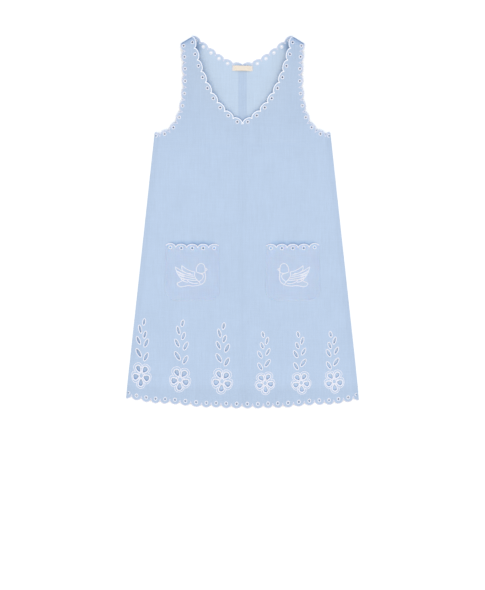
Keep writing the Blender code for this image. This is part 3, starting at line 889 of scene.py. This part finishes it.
def pocket_strip(place):
    """A strip of the front at the pockets' tops: how far in from their sides, and how far up."""
    def mask(x, y, z):
        across = abs(abs(x) - POCKET_MIDDLE * MM).ramp(*(POCKET_TOP_HALF - off for off in place["sides"]))
        top = y.ramp(*(POCKET_TOP + off for off in place["top"]))
        return across * top * y.ramp(*(POCKET_TOP + off for off in place["base"]))
    return mask


def at_shoulder(x, y, z):
    """The front along the fold of the shoulder, where its shade is painted."""
    return off_seam(x, y, shoulder_out, shoulder_in).ramp(*SHOULDER_EDGE)


def under_strap(x, y, z):
    """The inner face of the back where it goes under a strap, where its shade is painted."""
    across, up = abs(x) - UNDER_STRAP[0] * MM, y - UNDER_STRAP[1] * MM
    return (across * across + up * up).sums("SQRT").ramp(*UNDER_STRAP_REACH)


def under_stems(place):
    """The inner face of the back under the stems, to one side of a place across, for the painted light and
    shade seen through their holes.
    """
    def mask(x, y, z):
        return x.ramp(*place) * y.ramp(*STEMS_TOP) * inner_face(z)
    return mask


# slightly deeper tones of the front: what they are measured from, where they are full, where they
# end, and how deep. The middle and side rows follow the seam edges under the cloth; the below and up
# rows are painted shade, darkening the top of the front and the hem
SHADES = table(
    "off full gone deep",
    ("middle", 9.5, 12.5, 0.014),
    ("middle", 0.6, 2.6, 0.016),
    ("side", 11.5, 14.0, 0.026),
    ("below", -390.0, -120.0, 0.07),
    ("up", -412.0, -386.0, 0.045),
)


def seams_and_painted_shade(x, y):
    """Slightly deeper tone of the front: over the seam edges at middle and sides, and painted shade
    towards the top and along the hem.
    """
    off = {"middle": abs(x), "side": off_seam(x, y, underarm, corner), "below": y * -1.0, "up": y}
    return sum(off[row["off"]].ramp(row["gone"], row["full"]) * row["deep"] for row in SHADES)


def thread_material(name, colour, rough, sheen):
    """Embroidery thread: fine strands and a soft shine."""
    material, tree, shader, where = new_material(name, colour, rough)
    put(shader, {"Sheen Weight": sheen, "Sheen Roughness": 0.35, "Specular IOR Level": 0.4})
    strands = noise(tree, where, (0.35, 0.35, 0.35), 2.0, 0.6)
    patch = noise(tree, where, (7.0, 7.0, 7.0), 2.0, 0.5)
    tinted(shader, colour, even_tone([(strands, 0.1), (patch, 0.06)]))
    bumped(shader, strands, distance=0.12, strength=0.5)
    return material


def tape_material(name, colour):
    """Woven label tape: close ribs across its length and a faint mottle."""
    material, tree, shader, where = new_material(name, colour, 0.7)
    put(shader, {"Sheen Weight": 0.15})
    x, y, _ = axes(tree, where)
    mottle = noise(tree, where, (2.2, 0.9, 2.0), 3.0, 0.6)
    tinted(shader, colour, even_tone([(mottle, 0.14)]))
    bumped(shader, threads(y, 0.55) + threads(x, 0.4) * 0.5, distance=0.08, strength=0.6)
    return material


linen_front = linen("linen_front", (0.452, 0.548, 0.692), seams_and_shade=True, tints=[
    (pocket_strip(UNDER_POCKET), UNDER_POCKET_BLUE_LIGHT_TINT),
    (pocket_strip(MOUTH), MOUTH_TINT),
    (at_shoulder, SHOULDER_SHADE_TINT),
])
linen_pocket = linen("linen_pocket", (0.476, 0.563, 0.739), glow=0.5)
# the back's linen is a lighter, less blue copy of the front's: painted light on the single layer seen
# inside the neckline
linen_back = linen("linen_back", (0.492, 0.588, 0.712), tints=[
    (under_front, UNDER_FRONT_SHADE_TINT),
    (under_strap, UNDER_STRAP_SHADE_TINT),
    (under_stems(RIGHT_STEMS), RIGHT_STEMS_LIGHT_TINT),
    (under_stems(FIRST_STEM), FIRST_STEM_SHADE_TINT),
])
linen_edge = linen("linen_seam_edge", (0.438, 0.533, 0.675))
white_thread = thread_material("white_thread", (0.75, 0.748, 0.82), rough=0.55, sheen=0.12)
# a lighter copy of the white thread: painted light on the neckline border, which tilts away from the light
neck_thread_painted_light = thread_material("neck_thread_painted_light", (0.86, 0.86, 0.91), rough=0.55, sheen=0.12)
# a darker, bluer copy of the white thread: painted shade on the thin satin borders of arms, hem and back,
# which curve down
rim_thread_painted_shade = thread_material("rim_thread_painted_shade", (0.645, 0.647, 0.762), rough=0.6, sheen=0.08)
blue_thread = thread_material("blue_thread", (0.56, 0.66, 0.83), rough=0.6, sheen=0.1)
tape = tape_material("label_tape", (0.835, 0.72, 0.59))

# Panels

BLUE = "linen_blue"
front_loops = [front_outline, *front_holes]
front = cloth_piece("front_panel", front_loops, front_under, CLOTH, NET_STEP["front"], linen_front,
                    ["front"])
back_loops = {
    "right": [back_outline, *back_holes],
    "left": [flipped(back_outline), *[flipped(hole) for hole in back_holes]],
}
inner, outer = BACK_MIDDLE_GAP, BACK_MIDDLE_GAP + ALLOWANCE_WIDTH
ends = np.array([(inner, ALLOWANCE_TOP), (outer, ALLOWANCE_TOP), (outer, ALLOWANCE_BOTTOM),
                 (inner, ALLOWANCE_BOTTOM)])
strip = np.concatenate([ends[:2], between(ends[1], ends[2], SEAM_EDGE_STEPS), ends[2:],
                        between(ends[3], ends[0], SEAM_EDGE_STEPS)])
strips = {"right": strip, "left": flipped(strip)}
backs, edges = {}, {}
for way in ("left", "right"):
    backs[way] = cloth_piece("back_panel_" + way, back_loops[way], back_under, CLOTH, NET_STEP["back"],
                             linen_back, ["back_" + way])
    edges[way] = cloth_piece("seam_edge_cloth_" + way, [strips[way]], allowance_under, EDGE_CLOTH,
                             NET_STEP["seam_edge"], linen_edge, ["seam_edge_" + way])

long, high = LABEL_SIZE
corners = np.array([(-long / 2, high / 2), (long / 2, high / 2), (long / 2, -high / 2),
                    (-long / 2, -high / 2)])
corners = corners @ np.array([(1.0, LABEL_TILT), (-LABEL_TILT, 1.0)]) + (0.0, LABEL_UP)
tag = np.concatenate([np.concatenate([corners[k:k + 1], between(corners[k], corners[(k + 1) % 4], steps)])
                      for k, steps in enumerate(LABEL_STEPS)])
label = cloth_piece("label_tape", [tag], label_under, TAPE, NET_STEP["label"], tape,
                    ["label"])

pockets, pocket_parts = {}, {}
for way, middle in (("left", -POCKET_MIDDLE), ("right", POCKET_MIDDLE)):
    outline, eyelets, border = pocket_outline(middle)
    loops = [outline, *[circle(p, EYELET_RADIUS, EYELET_CORNERS) for p in eyelets]]
    pockets[way] = cloth_piece("pocket_cloth_" + way, loops, pocket_under(middle), POCKET_CLOTH,
                               NET_STEP["pocket"], linen_pocket, ["pocket_" + way])
    pocket_parts[way] = (loops, eyelets, border, middle)

# Embroidery

def middle_of(under, wall=CLOTH):
    """Height of the middle of a cloth."""
    return lambda x, y: under(x, y) + wall / 2


def top_of(under, wall=CLOTH):
    """Height of what lies on top of a cloth."""
    return lambda x, y: under(x, y) + wall + THREAD_GAP


def both_sides(path):
    """A path and the same on the other side of the dress."""
    return (path, flipped(path))


def edge_path(line, edge, kind):
    """The middle of the satin border along a scalloped edge."""
    return scalloped(line, EDGES[edge], kind["half"], NOTCH_TAIL if kind is BORDER else RIM_TAIL)[0]


in_front = middle_of(front_under)
in_back = middle_of(back_under)
on_front = top_of(front_under)

border = Bands()
for path in both_sides(edge_path(bent_line(NECK_LINE), "neck", BORDER)):
    border.add(path, False, BORDER, in_front)
front_border = border.piece("front_satin_border", neck_thread_painted_light, BLUE)
rim = Bands()
for line, edge in ((bent_line(ARM_LINE), "arm"), (hem_line(HEM_MIDDLE), "hem")):
    for path in both_sides(edge_path(line, edge, RIM)):
        rim.add(path, False, RIM, in_front)
front_rim = rim.piece("front_satin_rim", rim_thread_painted_shade, BLUE)

rings = Bands()
for spot in front_eyelets:
    tall = HEM_RING_TALL if spot[1] < HEM_RINGS_BELOW else 1.0
    rings.add(circle((0.0, 0.0), RING_PATH, RING_CORNERS) * (1.0, tall) + spot, True, RING, in_front)
for spot in SEAM_EYELETS:
    start, turn = math.radians(SEAM_RING_FROM), math.radians(SEAM_RING_TURN)
    for path in both_sides(circle(spot, RING_PATH, SEAM_RING_CORNERS, start, turn)):
        rings.add(path, False, RING, in_front)
front_rings = rings.piece("front_eyelet_rings", white_thread, BLUE)

back_borders, back_rings = {}, {}
for way in ("left", "right"):
    border, rings = Bands(), Bands()
    for line, edge in ((bent_line(BACK_NECK_LINE), "back_neck"), (bent_line(BACK_ARM_LINE), "arm"),
                       (hem_line(BACK_HEM_MIDDLE), "hem")):
        path = edge_path(line, edge, RIM)
        path = path[path[:, 0] > BACK_BORDER_FROM]
        border.add(path if way == "right" else flipped(path), False, RIM, in_back)
    for spot in back_eyelets:
        spot = spot if way == "right" else spot * (-1.0, 1.0)
        rings.add(circle(spot, RING_PATH, RING_CORNERS), True, RING, in_back)
    back_borders[way] = border.piece("back_satin_border_" + way, rim_thread_painted_shade, BLUE)
    back_rings[way] = rings.piece("back_eyelet_rings_" + way, white_thread, BLUE)

FLOWER_HEART = (5.2, 6.5)  # half sizes of the ring round the flower's heart
LOBE_TURN = 1.75  # how far round the petal it goes, each way, in radians
LOBE_STEPS = 40
SPOKE_FROM = 7.6
SPOKE_TO = 12.0


def petal_lobe(stem, petal):
    """The line round the outer part of one petal."""
    a = math.pi + np.linspace(-LOBE_TURN, LOBE_TURN, LOBE_STEPS)
    return drop(stem, petal, a, petal["rim"], petal["beside"])


def spokes(stem):
    """Short bands between the petals, out from the heart."""
    ways = sorted(petal["way"] for petal in PETALS)
    for way, following in zip(ways, ways[1:] + ways[:1]):
        out, _ = turned(math.radians(way + ((following - way) % 360.0) / 2))
        yield stem_place(stem, np.linspace(SPOKE_FROM, SPOKE_TO, 6)[:, None] * out)


stems = Bands()
outlines = Bands()
for stem in STEMS:
    for leaf in LEAVES:
        stems.add(leaf_loop(stem, leaf, LEAF_RING["half"] - RING_OVERLAP), True, LEAF_RING, in_front)
    for petal in PETALS:
        stems.add(petal_loop(stem, petal, PETAL_RING["half"] - RING_OVERLAP), True, PETAL_RING, in_front)
        outlines.add(petal_lobe(stem, petal), False, OUTLINE, on_front)
    heart = circle((0.0, 0.0), 1.0, HEART_CORNERS) * FLOWER_HEART
    stems.add(stem_place(stem, heart), True, LEAF_RING, on_front)
    for path in spokes(stem):
        stems.add(path, False, SPOKE, on_front)
stem_bands = stems.piece("stem_satin_rings", white_thread, BLUE)
flower_bands = outlines.piece("flower_outlines", white_thread, BLUE)

# an outline bird, facing the middle of the dress: points (toward the middle, up)
BIRD = (
    ((12.0, 8.0), (13.2, 19.0), (18.2, 26.2), (24.6, 28.4), (30.8, 25.0), (33.6, 17.0), (33.8, 4.0),
     (34.6, -6.0), (32.0, -15.5), (25.0, -21.5), (16.0, -24.6), (4.0, -26.0), (-6.0, -24.6),
     (-16.0, -26.4), (-24.5, -27.8), (-32.0, -24.6), (-33.6, -19.5), (-26.5, -15.6), (-17.0, -11.0)),
    ((33.4, 17.5), (38.6, 14.0), (33.8, 10.6)),
    ((12.5, 7.6), (22.0, 4.8), (29.0, 5.2), (33.6, 8.2)),
    ((21.5, 4.8), (28.6, 0.6), (27.6, -8.0), (18.5, -16.0)),
    ((9.0, 7.2), (7.6, 0.0), (11.4, -8.0), (18.5, -16.0), (22.0, -21.0)),
    ((17.0, -19.4), (6.0, -19.8), (-4.0, -16.6), (-10.0, -12.0)),
)
# long feathers of the wing: tip, root, width, and how much of the lower edge shows
FEATHERS = table(
    "tip root wide back",
    ((-22.6, 23.4), (9.4, 7.6), 8.6, 0.8),
    ((-38.4, 20.4), (4.5, 0.6), 7.2, 0.62),
    ((-36.2, 11.6), (6.5, -3.0), 6.6, 0.52),
    ((-32.0, 3.6), (9.5, -7.4), 6.4, 0.5),
    ((-26.0, -5.0), (14.0, -12.0), 6.2, 0.5),
)
FEATHER_SAG = 2.6
FEATHER_STEPS = 40
FEATHER_WIDE_FROM = 0.5  # from tip to root: where a feather is wide, and where it rounds off
FEATHER_ROUND_FROM = 0.72


def rounded(points, steps=14):
    """A smooth line through all the points."""
    p = np.array(points, float)
    p = np.concatenate([2 * p[:1] - p[1:2], p, 2 * p[-1:] - p[-2:-1]])
    t = np.linspace(0.0, 1.0, steps, endpoint=False)[:, None]
    line = []
    for a, b, c, d in zip(p, p[1:], p[2:], p[3:]):
        line.append(0.5 * (2 * b + (c - a) * t + (2 * a - 5 * b + 4 * c - d) * t**2
                           + (3 * b - a - 3 * c + d) * t**3))
    return np.concatenate([*line, p[-2:-1]])


def bird_paths():
    """All the lines of the bird, round its own middle."""
    paths = [rounded(line) for line in BIRD]
    for feather in FEATHERS:
        tip, root = np.array(feather["tip"]), np.array(feather["root"])
        span = tip - root
        across = np.array((-span[1], span[0])) / np.linalg.norm(span)
        t = np.linspace(0.0, 1.0, FEATHER_STEPS)[:, None]
        spine = root + span * t + across * FEATHER_SAG * 4 * t * (1 - t)
        begun = np.clip(t / FEATHER_WIDE_FROM, 0.0, 1.0) ** 0.5
        done = smooth((t - FEATHER_ROUND_FROM) / (1.0 - FEATHER_ROUND_FROM))
        wide = feather["wide"] * begun * np.sqrt(1.0 - done ** 2)
        lower = (spine + across * wide)[t[:, 0] >= 1.0 - feather["back"]]
        paths.append(np.concatenate([spine, lower[::-1]]))
    return paths


def dashes(bands, path, kind, long, gap, height):
    """Running stitches along a path."""
    so_far = travel(path)
    start = gap
    while start + long < so_far[-1]:
        at = np.linspace(start, start + long, 5)
        bands.add(picked(path, so_far, at), False, kind, height)
        start += long + gap


BIRD_MIDDLE = (124.0, -128.0)
SEAM_INWARD = 2.4  # how far inside a pocket's edge it is sewn on
STITCH_LONG = 2.2
STITCH_APART = 0.9
for way, sign in (("left", -1.0), ("right", 1.0)):
    loops, eyelets, edge, middle = pocket_parts[way]
    under = pocket_under(middle)
    bands = Bands()
    inside, above = middle_of(under, POCKET_CLOTH), top_of(under, POCKET_CLOTH)
    bands.add(edge, False, BORDER, inside)
    for spot in eyelets:
        bands.add(circle(spot, POCKET_RING_PATH, RING_CORNERS), True, POCKET_RING, inside)
    for path in bird_paths():
        spot = path * (-sign, 1.0) + (sign * BIRD_MIDDLE[0], BIRD_MIDDLE[1])
        bands.add(spot, False, BIRD_LINE, above)
    white = bands.piece("pocket_embroidery_" + way, white_thread, BLUE)
    stitches = Bands()
    outline = loops[0]
    seam = np.concatenate([outline[len(edge):], outline[:1]])
    centre = np.array((middle, (POCKET_TOP + POCKET_BOTTOM) / 2))
    pull = 1.0 - SEAM_INWARD / np.linalg.norm(seam - centre, axis=1)
    dashes(stitches, centre + (seam - centre) * pull[:, None], STITCH, STITCH_LONG, STITCH_APART, above)
    blue = stitches.piece("pocket_stitching_" + way, blue_thread, BLUE)

TACK_ENDS = (23.6, 21.2)  # how far out each stitch of the label begins and ends
TACK_SLANT = 0.35
tacks = Bands()
for sign in (-1.0, 1.0):
    for offset in np.arange(-5.2, 5.3, 0.8):
        up = LABEL_UP + offset + LABEL_TILT * sign * sum(TACK_ENDS) / 2
        start = (sign * TACK_ENDS[0], up)
        end = (sign * TACK_ENDS[1], up + TACK_SLANT)
        tacks.add(np.linspace(start, end, 4), False, STITCH, top_of(label_under, TAPE))
label_tacks = tacks.piece("label_stitches", white_thread, "label_cotton")

# The size and flat area of each cut, worked out but not kept

def size_of(loops):
    """Width and length of a cut, in metres."""
    span = (loops[0].max(0) - loops[0].min(0)) * MM
    return float(span[0]), float(span[1])


size_of(front_loops)
flat_area(front_loops)
for way in ("left", "right"):
    size_of(back_loops[way])
    flat_area(back_loops[way])
    loops = pocket_parts[way][0]
    size_of(loops)
    flat_area(loops)

# Floor, light and camera

FLOOR_HALF = 4.0
FLOOR_GAP = 0.0002  # the floor lies this much below the dress
floor_mesh = bpy.data.meshes.new("floor")
floor_mesh.from_pydata([(-FLOOR_HALF, -FLOOR_HALF, 0), (FLOOR_HALF, -FLOOR_HALF, 0),
                        (FLOOR_HALF, FLOOR_HALF, 0), (-FLOOR_HALF, FLOOR_HALF, 0)], [], [(0, 1, 2, 3)])
floor = bpy.data.objects.new("floor", floor_mesh)
bpy.context.scene.collection.objects.link(floor)
floor.location.z = -FLOOR_GAP
paper, _, paper_shader, _ = new_material("floor_paper", (0.96, 0.96, 0.96), 0.8)
put(paper_shader, {"Specular IOR Level": 0.1})
floor_mesh.materials.append(paper)


def soft_sun(name, way, strength, colour, spread):
    """Even soft light from far away, going one way."""
    lamp = bpy.data.lights.new(name, "SUN")
    lamp.energy = strength
    lamp.color = colour
    lamp.angle = math.radians(spread)
    light = bpy.data.objects.new(name, lamp)
    bpy.context.scene.collection.objects.link(light)
    light.rotation_euler = Vector(way).to_track_quat("-Z", "Y").to_euler()


SKY = (0.58, 0.746, 1.0)
SKY_STRENGTH = 0.965
soft_sun("key_from_hem", way=(0.12, 0.86, -0.95), strength=2.086, colour=(1.0, 0.735, 0.306), spread=70.0)
soft_sun("fill_from_top", way=(-0.35, -0.5, -1.1), strength=0.3, colour=(1.0, 0.97, 0.92), spread=70.0)
world = bpy.data.worlds.new("studio")
bpy.context.scene.world = world
world.use_nodes = True
put(world.node_tree.nodes["Background"], {"Color": (*SKY, 1.0), "Strength": SKY_STRENGTH})

# the photograph looks straight down, its middle a little below the middle of the dress
CAMERA_HEIGHT = 3.2  # above the cloth
CLOTH_LEVEL = 0.006
VIEW_MIDDLE = (0.0, -0.1759)
VIEW_LENGTH = 1.4259  # length of the floor that the picture's height takes in
SENSOR = 36.0
lens = bpy.data.cameras.new("camera")
lens.sensor_width = SENSOR
lens.lens = SENSOR * CAMERA_HEIGHT / VIEW_LENGTH
camera = bpy.data.objects.new("camera", lens)
bpy.context.scene.collection.objects.link(camera)
camera.location = (*VIEW_MIDDLE, CAMERA_HEIGHT + CLOTH_LEVEL)
bpy.context.scene.camera = camera
bpy.context.scene.view_settings.view_transform = "Standard"
